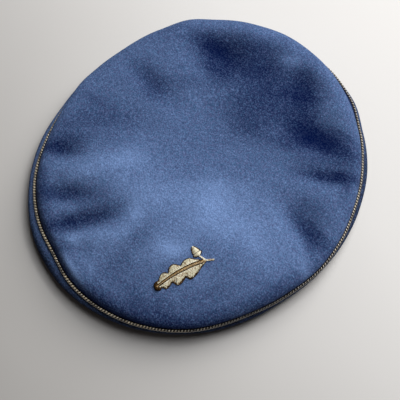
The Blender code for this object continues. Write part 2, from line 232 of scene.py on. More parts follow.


# %% [markdown]
# ## The floor
# A matt board. Its colour is painted almost white at the far right and greyer at the near left: a painted
# fall-off of the lamps' light, with painted shade towards the near left. The dot product of a place with a
# direction says how far along that way it lies, and that mixes the two tones. A faint noise keeps the board
# from looking like empty space.

# %% Floor
FLOOR_PALE = (0.93, 0.915, 0.895)
FLOOR_SHADE = (0.56, 0.545, 0.525)
BRIGHT_WAY = math.radians(74.0)
BRIGHT_SPAN = 0.32
BRIGHT_HERE = 0.68
FLOOR_NOISE = 0.13
FLOOR_BLOTCH = 0.12

board = Recipe("pale_board", 0.9, 0.0)
bright_way = (math.cos(BRIGHT_WAY), math.sin(BRIGHT_WAY), 0.0)
product = {"operation": "DOT_PRODUCT"}
run = board.node("ShaderNodeVectorMath", product, {0: board.places, 1: bright_way}, output="Value")
# painted light fall-off: paler along BRIGHT_WAY, with painted shade the other way, towards the near left
painted_falloff = BRIGHT_HERE + run * (1.0 / BRIGHT_SPAN) + FLOOR_NOISE * (board.noise(FLOOR_BLOTCH) - 0.5)
board.paint(board.blend(painted_falloff.clamped(), FLOOR_SHADE, FLOOR_PALE))
bm = bmesh.new()
bmesh.ops.create_grid(bm, x_segments=2, y_segments=2, size=FLOOR_HALF)
floor_mesh = bpy.data.meshes.new("floor")
bm.to_mesh(floor_mesh)
bm.free()
floor_mesh.materials.append(board.material)
floor = bpy.data.objects.new("floor", floor_mesh)
bpy.context.scene.collection.objects.link(floor)
print("floor", 2.0 * FLOOR_HALF, "m across")

# %% [markdown]
# ## Blue felt
# Felt is wool fibres pressed into a mat. It has no weave: what the eye sees is a heather of lighter and
# darker fibres a millimetre or two across, a soft fuzz that catches light at grazing angles, and a nap that
# is deeper in some places and rubbed pale in others. Two noises make the heather and sheen makes the fuzz.
# Light and shade are painted into the colour too: each mesh carries one number, shade_and_nap, in doublings
# of brightness, above zero where the felt is painted lighter, on lit swells and rubbed nap, and below zero
# where it is painted darker, for shade in hollows, by the seam and under the rim. The side panel is the
# same felt, but its darkest tone is greyer.

# %% Felt
FELT_COOL = (0.074, 0.150, 0.308)
FELT_WARM = (0.099, 0.135, 0.290)
FELT_DEEP_AND_SHADED = (0.0003, 0.0060, 0.0550)
PANEL_DEEP_AND_SHADED = (0.0060, 0.0080, 0.0200)
FELT_RUBBED_AND_LIT = (0.250, 0.395, 0.740)
RUBBED_AND_LIT_SHARE = 0.57
GRAIN_SIZE = 0.0011
GRAIN_STOPS = 3.3
HEATHER_SIZE = 0.0030
HEATHER_STOPS = 1.2
MOST_STOPS = 1.5
BLOTCH_SIZE = 0.022
BLOTCH_STOPS = 0.5
TINT_SIZE = 0.0013
TINT_SWING = 3.0
GRAIN_FADE = 0.65
FUZZ_DEPTH = 0.0006
FUZZ_STRENGTH = 0.8


def felt_finish(name, deep_and_shaded):
    """Felted wool in heather, blotches and fuzz, and painted light and shade from its mesh."""
    felt = Recipe(
        name, 0.95, 0.0,
        Sheen_Weight=0.06, Sheen_Roughness=0.5, Sheen_Tint=(0.55, 0.66, 0.90, 1.0), Specular_IOR_Level=0.03,
    )
    grain = felt.noise(GRAIN_SIZE, detail=1.0, roughness=0.5)
    heather = felt.noise(HEATHER_SIZE, detail=2.0, roughness=0.6)
    blotches = felt.noise(BLOTCH_SIZE, detail=3.0)
    shade_and_nap = felt.attribute("shade_and_nap")
    speckle = GRAIN_STOPS * (grain - 0.5) + HEATHER_STOPS * (heather - 0.5)
    strong = (speckle * 2.0 ** (-GRAIN_FADE * shade_and_nap)).at_most(MOST_STOPS)
    # the tone carries the painted light and shade with the nap: above 1 painted lighter, below 1 painted
    # darker
    tone = 2.0 ** (shade_and_nap + strong + BLOTCH_STOPS * (blotches - 0.5))
    tint = (0.5 + TINT_SWING * (felt.noise(TINT_SIZE, detail=1.0) - 0.5)).clamped()
    cloth_colour = felt.blend(tint, FELT_COOL, FELT_WARM)
    cloth_colour = felt.blend((RUBBED_AND_LIT_SHARE * (tone - 1.0)).clamped(), cloth_colour, FELT_RUBBED_AND_LIT)
    cloth_colour = felt.blend((1.0 - tone).clamped(), cloth_colour, deep_and_shaded)
    felt.paint(cloth_colour)
    felt.relief(0.5 * heather + 0.5 * grain, FUZZ_DEPTH, FUZZ_STRENGTH)
    return felt.material


felt_cloth = felt_finish("blue_felt", FELT_DEEP_AND_SHADED)
panel_cloth = felt_finish("blue_felt_panel", PANEL_DEEP_AND_SHADED)
print("felt", len(felt_cloth.node_tree.nodes), "nodes")

# %% [markdown]
# ## Copies of the cloth solids
# The solid model is faceted and plain. A copy of each cloth solid is merged, because its triangles come
# loose, its triangles are paired into quads, and a Subdivision Surface makes it smooth and fine enough for
# small folds. Sharp edges get a small bevel first, or the subdivision would melt them. The fixed solid
# itself is never touched; the copy stands for it.

# %% Cloth copies
SEAM_HALF_LENGTH = 0.1387
SEAM_HALF_WIDTH = 0.1235
MERGE_DISTANCE = 1e-5
SMOOTH_LEVELS = 2
SHARP_CORNER = math.radians(60.0)
BAND_EDGE = 0.0004
low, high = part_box("headband")
MIDDLE = 0.5 * (low + high)
MIDDLE.z = 0.0


def fine_copy(node, name, edge_round=0.0):
    """A smooth mesh copied from a solid, in quads as far as they pair, its sharp edges rounded."""
    bm = bmesh.new()
    bm.from_mesh(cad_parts[node].data)
    bmesh.ops.remove_doubles(bm, verts=bm.verts, dist=MERGE_DISTANCE)
    flat = math.pi
    bmesh.ops.join_triangles(bm, faces=bm.faces, angle_face_threshold=flat, angle_shape_threshold=flat)
    if edge_round:
        corners = [edge for edge in bm.edges if edge.calc_face_angle(0.0) > SHARP_CORNER]
        bmesh.ops.bevel(
            bm, geom=corners, offset=edge_round, affect="EDGES", segments=2, profile=0.5, material=-1,
        )
    mesh = bpy.data.meshes.new(name)
    bm.to_mesh(mesh)
    quads = sum(len(face.verts) == 4 for face in bm.faces)
    print(name, "faces", len(bm.faces), "of them quads", quads)
    bm.free()
    rough = bpy.data.objects.new(name + "_rough", mesh)
    bpy.context.scene.collection.objects.link(rough)
    smooth = rough.modifiers.new("smooth", "SUBSURF")
    smooth.levels = SMOOTH_LEVELS
    smooth.render_levels = SMOOTH_LEVELS
    bpy.context.view_layer.update()
    ready = bpy.data.meshes.new_from_object(rough.evaluated_get(bpy.context.evaluated_depsgraph_get()))
    bpy.data.objects.remove(rough)
    ready.name = name
    ready.materials.clear()
    return ready


def show(mesh, name, material, node_names):
    """Put a finished mesh in the scene as a piece that rides on the cap and stands for solids."""
    mesh.materials.clear()
    mesh.materials.append(material)
    mesh.shade_smooth()
    piece = bpy.data.objects.new(name, mesh)
    bpy.context.scene.collection.objects.link(piece)
    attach(piece, "root")
    if node_names:
        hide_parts(*node_names)
    mesh.calc_loop_triangles()
    print(name, "triangles", len(mesh.loop_triangles))
    return piece


crown_mesh = fine_copy("crown_top", "crown_felt")
side_mesh = fine_copy("crown_side", "side_felt")
band_mesh = fine_copy("headband", "band_felt", edge_round=BAND_EDGE)

# %% [markdown]
# ## The route of the rim seam
# The cord, the dark line beside it and the rolled edge of the cloth all follow the rim seam, so its route
# comes first. It is read from the solid ring: the ring's points fall into one small group for each of its
# sections, and the middle of a group is a point of the route. A smooth curve through them is then cut into
# equal steps.

# %% Seam route
SECTIONS = 72
TWIST_PITCH = 0.0047
POINTS_PER_TURN = 10
FINE_STEPS = 20


def ring_route(node):
    """The closed route down the middle of a ring-shaped solid, one point a section."""
    groups = [[] for _ in range(SECTIONS)]
    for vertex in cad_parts[node].data.vertices:
        x = (vertex.co.x - MIDDLE.x) / SEAM_HALF_WIDTH
        y = (vertex.co.y - MIDDLE.y) / SEAM_HALF_LENGTH
        groups[round(math.atan2(y, x) / (2.0 * math.pi) * SECTIONS) % SECTIONS].append(vertex.co)
    route = []
    for group in groups:
        low_corner = Vector([min(point[axis] for point in group) for axis in range(3)])
        high_corner = Vector([max(point[axis] for point in group) for axis in range(3)])
        route.append(0.5 * (low_corner + high_corner))
    return route


def curve_between(start, end, slope_in, slope_out, t):
    """The value at a share t of the smooth curve from start to end with these slopes at its ends."""
    rise = end - start
    rest = 3.0 * rise - 2.0 * slope_in - slope_out
    turnback = slope_in + slope_out - 2.0 * rise
    return start + (slope_in + (rest + turnback * t) * t) * t


def along_route(route, place):
    """A point of a closed route at a place counted in its sections, on a smooth curve."""
    row = math.floor(place)
    before, start, end, after = (route[(row + step) % len(route)] for step in (-1, 0, 1, 2))
    return curve_between(start, end, 0.5 * (end - before), 0.5 * (after - start), place - row)


def even_points(route, count):
    """So many points at equal distances along a closed route."""
    fine = [along_route(route, step / FINE_STEPS) for step in range(FINE_STEPS * len(route) + 1)]
    run = [0.0]
    for here, there in zip(fine, fine[1:]):
        run.append(run[-1] + (there - here).length)
    points = []
    step = 0
    for index in range(count):
        target = run[-1] * index / count
        while run[step + 1] < target:
            step += 1
        part = (target - run[step]) / (run[step + 1] - run[step])
        points.append(fine[step].lerp(fine[step + 1], part))
    return points, run[-1]


seam_route = ring_route("edge_cord")
_, seam_length = even_points(seam_route, POINTS_PER_TURN)
turn_count = round(seam_length / TWIST_PITCH)
cord_points, _ = even_points(seam_route, turn_count * POINTS_PER_TURN)
print("seam", round(seam_length, 3), "m long,", turn_count, "turns of the cord")

# %% [markdown]
# ## How the rim has settled
# A worn cap doesn't keep to an even oval. The rim has sunk and spread at the far right, so the cord and a
# strip of the side panel show past the crown there, and it is drawn in a little at the left. Each row says
# which way it looks from the middle, in degrees from +X, and how far the seam, the panel's bulge and the
# crown's bulge have moved outwards, in millimetres. The shift fades out within a few centimetres of the
# seam.

# %% Rim shifts
UNIT = 0.001
Spread = namedtuple("Spread", "way seam panel crown")
SPREADS = (
    Spread(0, 0.6, 0.6, 0.6),
    Spread(12, 0.0, 0.6, 0.3),
    Spread(28, -1.0, 0.8, -0.6),
    Spread(44, -0.6, 1.6, -0.4),
    Spread(57, 0.8, 1.8, 0.0),
    Spread(70, 3.6, 4.6, 0.4),
    Spread(82, 3.6, 4.0, 1.0),
    Spread(90, 1.9, 2.0, 1.0),
    Spread(103, 1.8, 1.8, 1.8),
    Spread(116, 0.0, 0.0, 0.0),
    Spread(128, -0.6, -0.6, -0.6),
    Spread(139, 2.0, 2.0, 2.0),
    Spread(150, 0.0, 0.0, 0.0),
    Spread(169, -1.7, -1.7, -1.7),
    Spread(178, -1.4, -1.4, -1.4),
    Spread(188, -0.2, 0.0, -0.2),
    Spread(198, -0.9, -0.6, -0.8),
    Spread(215, -0.5, 0.9, -0.5),
    Spread(240, -1.1, -0.6, -1.4),
    Spread(256, -0.6, 0.1, -1.5),
    Spread(267, 0.2, 0.6, -0.9),
    Spread(286, 0.1, 0.9, -0.4),
    Spread(305, -0.2, 0.1, 0.0),
    Spread(330, -0.7, 1.0, -0.3),
    Spread(343, 0.0, 0.4, 0.0),
    Spread(360, 0.6, 0.6, 0.6),
)


def smooth_step(value, start, end):
    """0 before start, 1 after end, and an even S between them."""
    t = min(max((value - start) / (end - start), 0.0), 1.0)
    return t * t * (3.0 - 2.0 * t)


def spread_at(place):
    """How far seam, panel and crown have moved outwards, in metres, in the direction of a place."""
    way = math.degrees(math.atan2(place.y - MIDDLE.y, place.x - MIDDLE.x)) % 360.0
    row = max(index for index, spread in enumerate(SPREADS[:-1]) if spread.way <= way)
    start, end = SPREADS[row], SPREADS[row + 1]
    t = smooth_step(way, start.way, end.way)
    return [UNIT * (before + (after - before) * t) for before, after in zip(start[1:], end[1:])]


def outwards(place):
    """The plan direction from the middle to a place."""
    return Vector((place.x - MIDDLE.x, place.y - MIDDLE.y, 0.0)).normalized()


def tree_of(points):
    """A search tree over points."""
    tree = KDTree(len(points))
    for index, point in enumerate(points):
        tree.insert(point, index)
    tree.balance()
    return tree


SEAM_LEVEL = 0.0186
CROWN_BULGE_LEVEL = 0.0215
PANEL_BULGE_LEVEL = 0.0130
PANEL_SEAM_LEVEL = 0.0160
CROWN_FADE = (0.006, 0.035)
PANEL_FADE = (0.014, 0.035)
SEAM, PANEL, CROWN = range(3)
even_seam = tree_of(cord_points)


def shift_rim(mesh, below, above, levels, fade):
    """Move a cloth's rim outwards by one of the three shifts below its two levels and another above."""
    for vertex in mesh.vertices:
        place = vertex.co
        shifts = spread_at(place)
        rise = smooth_step(place.z, *levels)
        near = 1.0 - smooth_step(even_seam.find(place)[2], *fade)
        vertex.co += outwards(place) * near * (shifts[below] + (shifts[above] - shifts[below]) * rise)
    mesh.update()


shift_rim(crown_mesh, SEAM, CROWN, (SEAM_LEVEL, CROWN_BULGE_LEVEL), CROWN_FADE)
shift_rim(side_mesh, PANEL, SEAM, (PANEL_BULGE_LEVEL, PANEL_SEAM_LEVEL), PANEL_FADE)
cord_points = [point + outwards(point) * spread_at(point)[SEAM] for point in cord_points]
seam_tree = tree_of(cord_points)
seam_shifts = [spread.seam for spread in SPREADS]
print("rim moved by", min(seam_shifts), "to", max(seam_shifts), "mm")

# %% [markdown]
# ## Dents and folds
# Soft cloth over a hollow sags between the headband and the stiff rim, and the seam gathers it into short
# folds. Each row of the table is one dent or swell. Its place is in shares of the seam's half width and
# half length, its length and width in shares of the half length, its turn in degrees from +X and its rise
# in millimetres. A sum of smooth bumps puts each fold where it should be, and a cloth simulation wouldn't.

# %% Relief of the crown
FOLD_END = 9.0
Fold = namedtuple("Fold", "across along long wide turn rise")
FOLDS = (
    # the deep dents behind, under the far rim
    Fold(-0.4, 0.56, 0.21, 0.12, 20, -3.4),
    Fold(0.08, 0.6, 0.2, 0.13, -15, -2.4),
    Fold(0.43, 0.52, 0.2, 0.08, 14, -3.2),
    Fold(0.65, 0.4, 0.14, 0.045, 36, -1.8),
    Fold(0.78, 0.07, 0.15, 0.055, -8, -2.0),
    # short folds at the left, drawn in by the seam
    Fold(-0.65, 0.14, 0.17, 0.06, 0, -1.4),
    Fold(-0.71, -0.52, 0.1, 0.04, 35, -1.5),
    Fold(-0.46, -0.68, 0.16, 0.045, 38, -1.6),
    Fold(-0.24, -0.72, 0.2, 0.045, 56, -1.8),
    Fold(-0.22, -0.9, 0.08, 0.03, 50, -0.7),
    # the puffs between them
    Fold(-0.12, -0.74, 0.17, 0.05, 50, 1.0),
    Fold(-0.36, -0.62, 0.15, 0.05, 46, 0.6),
)


def share_of_seam(place):
    """How far out a place is: 0 in the middle, 1 on an oval near the seam."""
    x = (place.x - MIDDLE.x) / SEAM_HALF_WIDTH
    y = (place.y - MIDDLE.y) / SEAM_HALF_LENGTH
    return math.hypot(x, y)


def bump_sum(place, folds):
    """Sum of a table's smooth bumps at a place in plan, in the unit of their rise."""
    total = 0.0
    for fold in folds:
        turn = math.radians(fold.turn)
        x = place.x - MIDDLE.x - fold.across * SEAM_HALF_WIDTH
        y = place.y - MIDDLE.y - fold.along * SEAM_HALF_LENGTH
        down = (x * math.cos(turn) + y * math.sin(turn)) / (fold.long * SEAM_HALF_LENGTH)
        side = (y * math.cos(turn) - x * math.sin(turn)) / (fold.wide * SEAM_HALF_LENGTH)
        reach = down * down + side * side
        if reach < FOLD_END:
            total += fold.rise * math.exp(-reach)
    return total


WRINKLE_SIZE = 0.020
WRINKLE_DEPTH = 0.25
RELIEF_FADE = (0.86, 0.95)
for vertex in crown_mesh.vertices:
    place = vertex.co
    full = 1.0 - smooth_step(share_of_seam(place), *RELIEF_FADE)
    change = bump_sum(place, FOLDS) + WRINKLE_DEPTH * noise.noise(place / WRINKLE_SIZE)
    vertex.co.z += UNIT * full * change
crown_mesh.update()
print("crown points", len(crown_mesh.vertices))

# %% [markdown]
# ## Painted shade and nap
# The felt's colour is painted darker where shade falls and lighter where light falls: darker in its
# hollows, beside the seam and on the near roll of the rim, lighter on the swells. A second table of soft
# patches says where, above zero for painted light and below zero for painted shade; it holds rubbed and
# deep places in the nap as well. Its large rows are the hollows and worn places that show at a glance, and
# its smallest rows only trim their edges. The distance to the rim seam adds the painted shadow line beside
# the cord and the painted shade of the rolled edge. The sum is stored on the mesh as one number a point,
# which the felt material reads.

# %% Painted shade and nap of the cloth
SHADE_AND_NAP_PATCHES = (
    # painted light on swells: the middle, the left and by the leaf, then the puffs along the near rim
    Fold(0.33, -0.16, 0.41, 0.185, 27, 0.75),
    Fold(-0.43, -0.39, 0.25, 0.07, 43, 0.5),
    Fold(-0.07, -0.39, 0.13, 0.125, 0, 0.5),
    Fold(0.26, -0.49, 0.13, 0.1, 52, 0.6),
    Fold(-0.11, -0.73, 0.17, 0.05, 50, 0.5),
    Fold(-0.03, -0.88, 0.08, 0.06, 20, 0.4),
    Fold(0.55, -0.48, 0.12, 0.05, 47, 0.4),
    Fold(0.75, -0.16, 0.17, 0.08, 48, 0.3),
    Fold(-0.34, -0.25, 0.12, 0.08, 63, 0.4),
    Fold(0.23, -0.14, 0.12, 0.075, 58, 0.35),
    Fold(-0.01, -0.69, 0.1, 0.075, 69, 0.45),
    Fold(0.29, -0.53, 0.1, 0.06, 63, 0.4),
    Fold(-0.05, -0.5, 0.06, 0.05, -60, 0.45),
    Fold(-0.07, 0.82, 0.05, 0.045, 60, 0.55),
    Fold(-0.02, -0.98, 0.07, 0.035, 17, 0.5),
    Fold(-0.2, -0.82, 0.06, 0.04, 50, 0.35),
    Fold(-0.45, -0.49, 0.11, 0.045, 44, 0.4),
    Fold(0.45, -0.21, 0.23, 0.06, 38, 0.3),
    Fold(0.14, -0.65, 0.09, 0.05, 25, 0.35),
    Fold(-0.06, 0.84, 0.1, 0.035, 35, 0.45),
    Fold(0.87, -0.5, 0.07, 0.029, 61, 0.4),
    Fold(-0.19, -0.82, 0.04, 0.029, 44, 0.3),
    Fold(0.36, -0.44, 0.03, 0.029, -25, 0.3),
    Fold(0.85, -0.5, 0.07, 0.029, 53, 0.45),
    Fold(-0.01, -0.59, 0.05, 0.035, 89, 0.3),
    Fold(0.25, -0.51, 0.08, 0.04, 30, 0.3),
    Fold(-0.26, -0.42, 0.09, 0.045, 36, 0.3),
    Fold(0.0, -0.49, 0.09, 0.045, -16, 0.4),
    Fold(0.18, -0.06, 0.14, 0.045, 44, 0.3),
    Fold(0.65, -0.17, 0.09, 0.05, 41, 0.25),
    Fold(0.33, -0.5, 0.05, 0.035, 0, 0.35),
    Fold(-0.1, -0.94, 0.16, 0.03, -13, 1.9),
    Fold(0.96, -0.08, 0.07, 0.04, -17, 0.9),
    Fold(-0.37, -0.71, 0.06, 0.03, 35, 0.3),
    # painted shade in the hollow under the far rim
    Fold(-0.46, 0.6, 0.14, 0.07, 14, -2.3),
    Fold(-0.54, 0.6, 0.08, 0.055, 10, -1.8),
    Fold(-0.33, 0.76, 0.13, 0.045, 38, -0.8),
    Fold(-0.4, 0.5, 0.08, 0.045, 19, -0.7),
    Fold(-0.28, 0.63, 0.22, 0.105, 33, -1.5),
    Fold(-0.18, 0.7, 0.09, 0.08, 36, -0.9),
    Fold(-0.34, 0.45, 0.09, 0.05, 70, -0.45),
    Fold(-0.5, 0.67, 0.28, 0.065, 38, -0.9),
    Fold(-0.24, 0.76, 0.05, 0.04, 21, -0.35),
    Fold(-0.39, 0.49, 0.09, 0.046, 2, -0.3),
    Fold(-0.43, 0.51, 0.16, 0.058, 3, -0.4),
    Fold(-0.63, 0.09, 0.14, 0.052, 16, -0.25),
    Fold(-0.82, -0.16, 0.07, 0.035, 13, -0.3),
    Fold(-0.33, 0.7, 0.14, 0.035, 32, -0.4),
    Fold(-0.42, 0.47, 0.08, 0.04, 7, -0.4),
    Fold(-0.47, 0.31, 0.22, 0.045, 38, -0.4),
    Fold(-0.82, 0.52, 0.1, 0.035, 62, -0.35),
    # painted shade in the hollows at the right
    Fold(0.34, 0.59, 0.11, 0.06, -15, -0.55),
    Fold(-0.03, 0.43, 0.2, 0.196, 44, -0.2),
    Fold(0.21, 0.73, 0.06, 0.029, -31, -0.4),
    Fold(0.5, 0.6, 0.04, 0.029, -21, -0.5),
    Fold(0.87, 0.12, 0.03, 0.029, -13, -0.45),
    Fold(0.24, 0.43, 0.11, 0.046, 24, -0.35),
    Fold(0.09, 0.67, 0.13, 0.04, 29, -0.35),
    Fold(0.69, 0.47, 0.03, 0.029, 10, -0.45),
    Fold(0.83, 0.09, 0.03, 0.029, -36, -0.35),
    Fold(0.15, 0.71, 0.07, 0.045, 6, -0.75),
    Fold(0.09, 0.35, 0.09, 0.055, 11, -0.6),
    Fold(0.27, 0.4, 0.08, 0.05, 24, -0.75),
    Fold(0.87, 0.04, 0.06, 0.03, -27, -0.75),
    Fold(0.76, 0.45, 0.09, 0.035, -36, -0.8),
    Fold(0.89, 0.35, 0.03, 0.03, -16, -0.45),
    Fold(0.05, 0.67, 0.08, 0.04, 49, -0.45),
    Fold(0.29, 0.64, 0.06, 0.04, -22, -0.6),
    Fold(0.36, 0.49, 0.07, 0.04, 77, -0.5),
    Fold(-0.02, 0.58, 0.2, 0.16, 44, -1.7),
    Fold(0.16, 0.71, 0.17, 0.09, -49, -1.9),
    Fold(0.0, 0.36, 0.15, 0.125, 44, -0.7),
    Fold(0.43, 0.57, 0.2, 0.065, 12, -3.8),
    Fold(0.36, 0.5, 0.09, 0.1, 20, -0.9),
    Fold(0.49, 0.65, 0.08, 0.045, 23, -0.9),
    Fold(0.11, 0.78, 0.08, 0.05, 0, -0.9),
    Fold(0.56, 0.49, 0.19, 0.125, 40, -0.8),
    Fold(0.67, 0.44, 0.15, 0.035, 36, -2.6),
    Fold(0.8, 0.11, 0.15, 0.055, -8, -2.2),
    Fold(0.7, 0.22, 0.09, 0.05, 10, -0.7),
    # painted shade of the short folds at the left
    Fold(-0.65, 0.18, 0.16, 0.06, -4, -1.1),
    Fold(-0.57, 0.14, 0.07, 0.06, 10, -0.5),
    Fold(-0.66, -0.19, 0.19, 0.09, 40, -0.8),
    Fold(-0.73, -0.51, 0.12, 0.045, 31, -2.3),
    Fold(-0.8, -0.38, 0.1, 0.06, 60, -0.6),
    Fold(-0.47, -0.68, 0.17, 0.045, 38, -1.7),
    Fold(-0.26, -0.71, 0.2, 0.045, 56, -1.7),
    Fold(-0.32, -0.79, 0.09, 0.035, 52, -0.8),
    Fold(-0.23, -0.92, 0.08, 0.035, 48, -0.8),
    Fold(-0.26, -0.76, 0.09, 0.035, 46, -0.45),
    Fold(-0.73, -0.45, 0.12, 0.045, 47, -0.95),
    Fold(-0.66, -0.69, 0.09, 0.025, -42, -0.7),
    Fold(-0.81, -0.14, 0.11, 0.035, 12, -0.4),
    Fold(-0.18, -0.64, 0.07, 0.035, 59, -0.4),
    Fold(-0.47, -0.7, 0.02, 0.023, -1, -0.4),
    Fold(-0.68, -0.39, 0.1, 0.035, 33, -0.35),
    Fold(-0.42, -0.63, 0.08, 0.035, 26, -0.35),
    Fold(-0.57, -0.73, 0.15, 0.023, -36, -0.45),
    # painted shade in a long soft valley from the middle to the near rim and in hollows by the rim,
    # and painted light on the ridge beside the valley
    Fold(0.51, -0.78, 0.08, 0.04, 28, -0.6),
    Fold(0.28, -0.81, 0.06, 0.035, 10, -0.5),
    Fold(0.46, -0.76, 0.09, 0.04, 41, -0.35),
    Fold(0.36, -0.82, 0.04, 0.035, 25, -0.4),
    Fold(0.59, -0.66, 0.09, 0.029, 41, -0.3),
    Fold(0.5, -0.9, 0.08, 0.029, 40, -0.5),
    Fold(0.65, -0.56, 0.08, 0.04, 48, -0.4),
    Fold(0.33, -0.85, 0.11, 0.035, 35, -0.3),
    Fold(0.9, -0.26, 0.07, 0.04, 44, -0.5),
    Fold(0.1, -0.66, 0.26, 0.055, -84, -0.35),
    Fold(0.03, -0.89, 0.09, 0.025, -64, 0.3),
)
CROWN_LIFT = 0.10
BAND_NAP = -0.5
# painted shade by the rim seam: the shadow line beside the cord, the rolled edge and the near roll turned
# from the lamps
SEAM_REACH = 0.0033
LINE_START = 0.45
FAR_WIDENING = 0.8
RIM_REACH = 0.0080
ROLL_REACH = 0.0200
LINE_STOPS = 2.4
EDGE_STOPS = 0.8
NEAR_EDGE_STOPS = 2.6
NEAR_ROLL_STOPS = 3.1
NEAR_WAY = math.radians(-61.0)
# painted light and shade of the side panel, in stops: dark at first, lit towards its top, and dark on its
# outer underside, beside the seam and on the sides turned from the lamps
PANEL_SHADE_BASE = -3.9
PANEL_LIT_STOPS = 4.4
PANEL_LIT = (0.30, 0.66)
PANEL_OUTER_STOPS = 3.6
PANEL_OUTER = (0.0035, 0.0125)
PANEL_LINE_STOPS = 2.6
Shade = namedtuple("Shade", "way sharpness stops")
PANEL_SHADES = (
    Shade(NEAR_WAY, 4, 1.6),
    Shade(math.radians(-25.0), 2, 2.4),
    Shade(math.radians(48.0), 2, 1.5),
)


def mark(mesh, name, value_at):
    """Give every point of a mesh a number that materials can read."""
    layer = mesh.attributes.new(name, "FLOAT", "POINT")
    layer.data.foreach_set("value", [value_at(vertex.co) for vertex in mesh.vertices])


def towards(place, way):
    """1 where a place lies that way from the middle, falling to 0 a quarter turn from it and behind."""
    return max(math.cos(math.atan2(place.y - MIDDLE.y, place.x - MIDDLE.x) - way), 0.0)


def beside(away, reach):
    """1 close to the seam, 0 from so far away on."""
    return 1.0 - smooth_step(away, LINE_START * reach, reach)


def seam_shade(place):
    """Painted shade near the rim, in stops: a shadow line at the cord, the rolled edge, the near roll."""
    away = seam_tree.find(place)[2]
    facing = towards(place, NEAR_WAY)
    line = beside(away, SEAM_REACH * (1.0 + FAR_WIDENING * (1.0 - facing)))
    edge = 1.0 - smooth_step(away, 0.0, RIM_REACH)
    roll = 1.0 - smooth_step(away, 0.0, ROLL_REACH)
    near = facing**2
    return LINE_STOPS * line + (EDGE_STOPS + NEAR_EDGE_STOPS * near) * edge + NEAR_ROLL_STOPS * near * roll


side_low = min(vertex.co.z for vertex in side_mesh.vertices)
side_high = max(vertex.co.z for vertex in side_mesh.vertices)


def painted_panel_shading(place):
    """Painted light and shade of the panel: lit above, dark at the seam, farther out and at shaded sides.
    """
    away = seam_tree.find(place)[2]
    lit = PANEL_LIT_STOPS * smooth_step((place.z - side_low) / (side_high - side_low), *PANEL_LIT)
    dark = PANEL_OUTER_STOPS * smooth_step(away, *PANEL_OUTER) + PANEL_LINE_STOPS * beside(away, SEAM_REACH)
    dark += sum(shade.stops * towards(place, shade.way) ** shade.sharpness for shade in PANEL_SHADES)
    return PANEL_SHADE_BASE + lit - dark


mark(crown_mesh, "shade_and_nap", lambda place: CROWN_LIFT + bump_sum(place, SHADE_AND_NAP_PATCHES) - seam_shade(place))
mark(side_mesh, "shade_and_nap", painted_panel_shading)
mark(band_mesh, "shade_and_nap", lambda place: BAND_NAP)
print("side panel from", round(side_low, 4), "to", round(side_high, 4))
crown = show(crown_mesh, "crown_felt", felt_cloth, ["crown_top"])
show(side_mesh, "side_felt", panel_cloth, ["crown_side"])
show(band_mesh, "band_felt", felt_cloth, ["headband"])

# %% [markdown]
# ## Gold thread
# Cap cord and embroidery use thread wound with a narrow strip of gilt metal. It glints like metal, but the
# windings break the glint into grains. A pale gold under a clear coat, mottled by a fine noise that also
# tilts the surface, looks more like that than plain metal does.

# %% Gold finishes
# the dark the cord is painted where shade falls, between plies, down its flanks and where the rim shades
# it, and where wear tarnishes it
TARNISH_AND_SHADE = (0.020, 0.012, 0.006)
MOTTLE = 4.4
WINDING_DEPTH = 0.3
WINDING_STRENGTH = 0.6
Gold = namedtuple("Gold", "dark pale pale_share roughness shine grain")
CORD_GOLD = Gold((0.80, 0.55, 0.28), (1.00, 0.89, 0.62), 0.75, 0.30, 1.0, 0.0009)
BLADE_GOLD = Gold((0.40, 0.22, 0.07), (1.00, 0.95, 0.70), 0.86, 0.34, 1.0, 0.0014)
RIB_OCHRE = Gold((0.20, 0.11, 0.03), (0.66, 0.43, 0.16), 0.50, 0.42, 0.4, 0.0009)
LINE_BROWN = Gold((0.010, 0.005, 0.002), (0.10, 0.055, 0.022), 0.50, 0.60, 0.0, 0.0009)


def gold_finish(name, gold, painted_light_and_shade=False):
    """A wound gilt thread between two tones, and on request painted shade and tarnish read from its mesh.
    """
    made = Recipe(
        name, gold.roughness, 0.0,
        Specular_IOR_Level=gold.shine, Coat_Weight=gold.shine, Coat_Roughness=0.25, Coat_IOR=1.9,
    )
    fine = made.noise(gold.grain, detail=2.0, roughness=0.6)
    colour = made.blend((gold.pale_share + MOTTLE * (fine - 0.5)).clamped(), gold.dark, gold.pale)
    if painted_light_and_shade:
        # painted light and shade of the cord, from the mesh's number
        colour = made.blend(made.attribute("crest"), TARNISH_AND_SHADE, colour)
    made.paint(colour)
    made.relief(fine, WINDING_DEPTH * gold.grain, WINDING_STRENGTH)
    return made.material


cord_gold = gold_finish("old_gold_cord", CORD_GOLD, painted_light_and_shade=True)
blade_gold = gold_finish("pale_gold_thread", BLADE_GOLD)
rib_gold = gold_finish("ochre_thread", RIB_OCHRE)
line_brown = gold_finish("brown_thread", LINE_BROWN)
print("gold", [made.name for made in (cord_gold, blade_gold, rib_gold, line_brown)])

# %% [markdown]
# ## The twisted cord
# The cord is two plies twisted round each other, and each ply shows once every turn, as a row of slanted
# beads. Each ply is a closed curve that winds round the seam's route, given thickness by the curve's own
# bevel. Light and shade are painted on it: the gold is painted dark where the plies meet and down
# its flanks, where the groove's shadow falls, and darker at the near right and the far right, where the
# rolled rim shades it. At the near left, where the crown's bulge shades it, it is painted lighter. A noise
# tarnishes it here and there. So every point carries a number, crest, that says how bright it is painted.
# An Edge is where a bright bead begins or is full, and how far that moves where it is painted lighter and
# where darker.

# %% Twisted cord
CORD_RADIUS = 0.00130
PLY_RADIUS = 0.00074
Edge = namedtuple("Edge", "plain bare dull")
BEAD_DARK = Edge(-0.15, -0.4, 0.7)
BEAD_PALE = Edge(0.50, -0.3, 0.4)
FLANK = Edge(0.45, -1.0, 0.3)
TOP = Edge(0.90, -1.0, 0.1)
